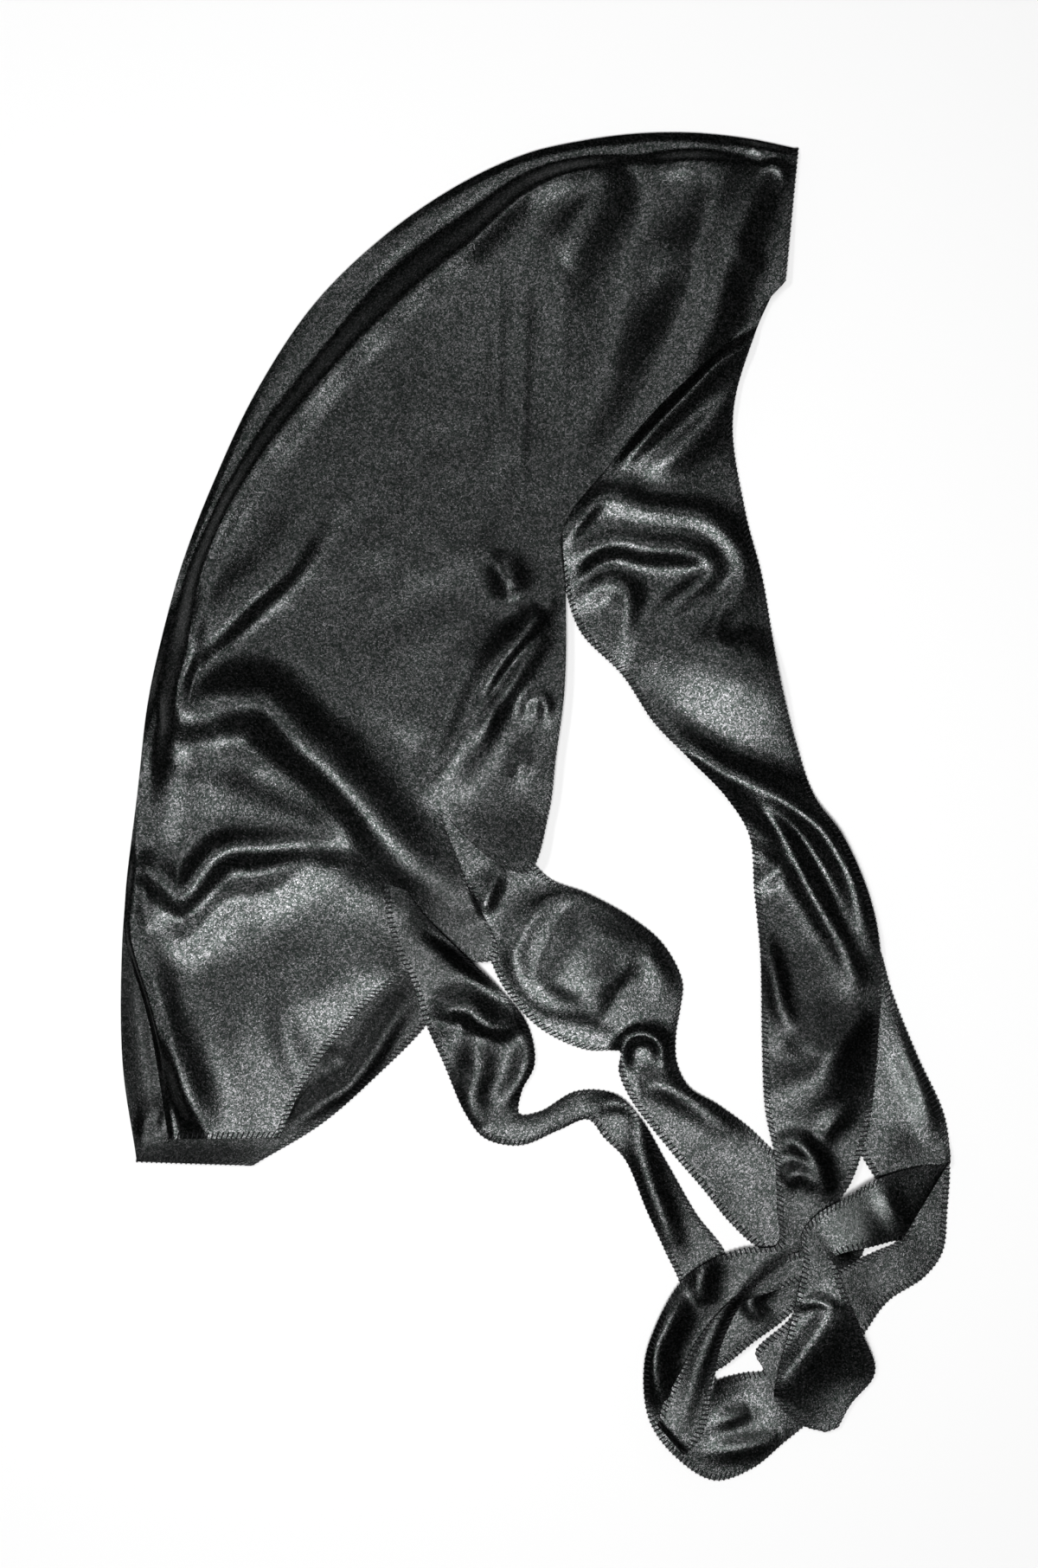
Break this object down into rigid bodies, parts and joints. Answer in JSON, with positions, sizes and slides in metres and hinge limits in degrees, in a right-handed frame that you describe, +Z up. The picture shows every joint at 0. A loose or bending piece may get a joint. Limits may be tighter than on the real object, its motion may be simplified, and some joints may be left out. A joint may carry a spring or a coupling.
{
  "type": "durag",
  "caption": "Satin durag lying on its side, folded in half along its centre seam, with a rounded crown, a tail flap and long loose ties that cross and loop beside it.",
  "frame": {"origin": "middle of the outline on the surface that the durag lies on", "axes": "+X towards the open lower edge of the crown and the ties, +Y towards the forehead edge, +Z up from the surface"},
  "size_m": [0.384, 0.624, 0.0138],
  "materials": {
    "satin": "black polyester satin with a fine bright sheen"
  },
  "bodies": {
    "root": {"crown_panel_upper": "satin", "crown_panel_lower": "satin", "tie_upper": "satin", "tie_lower": "satin"}
  },
  "joints": []
}
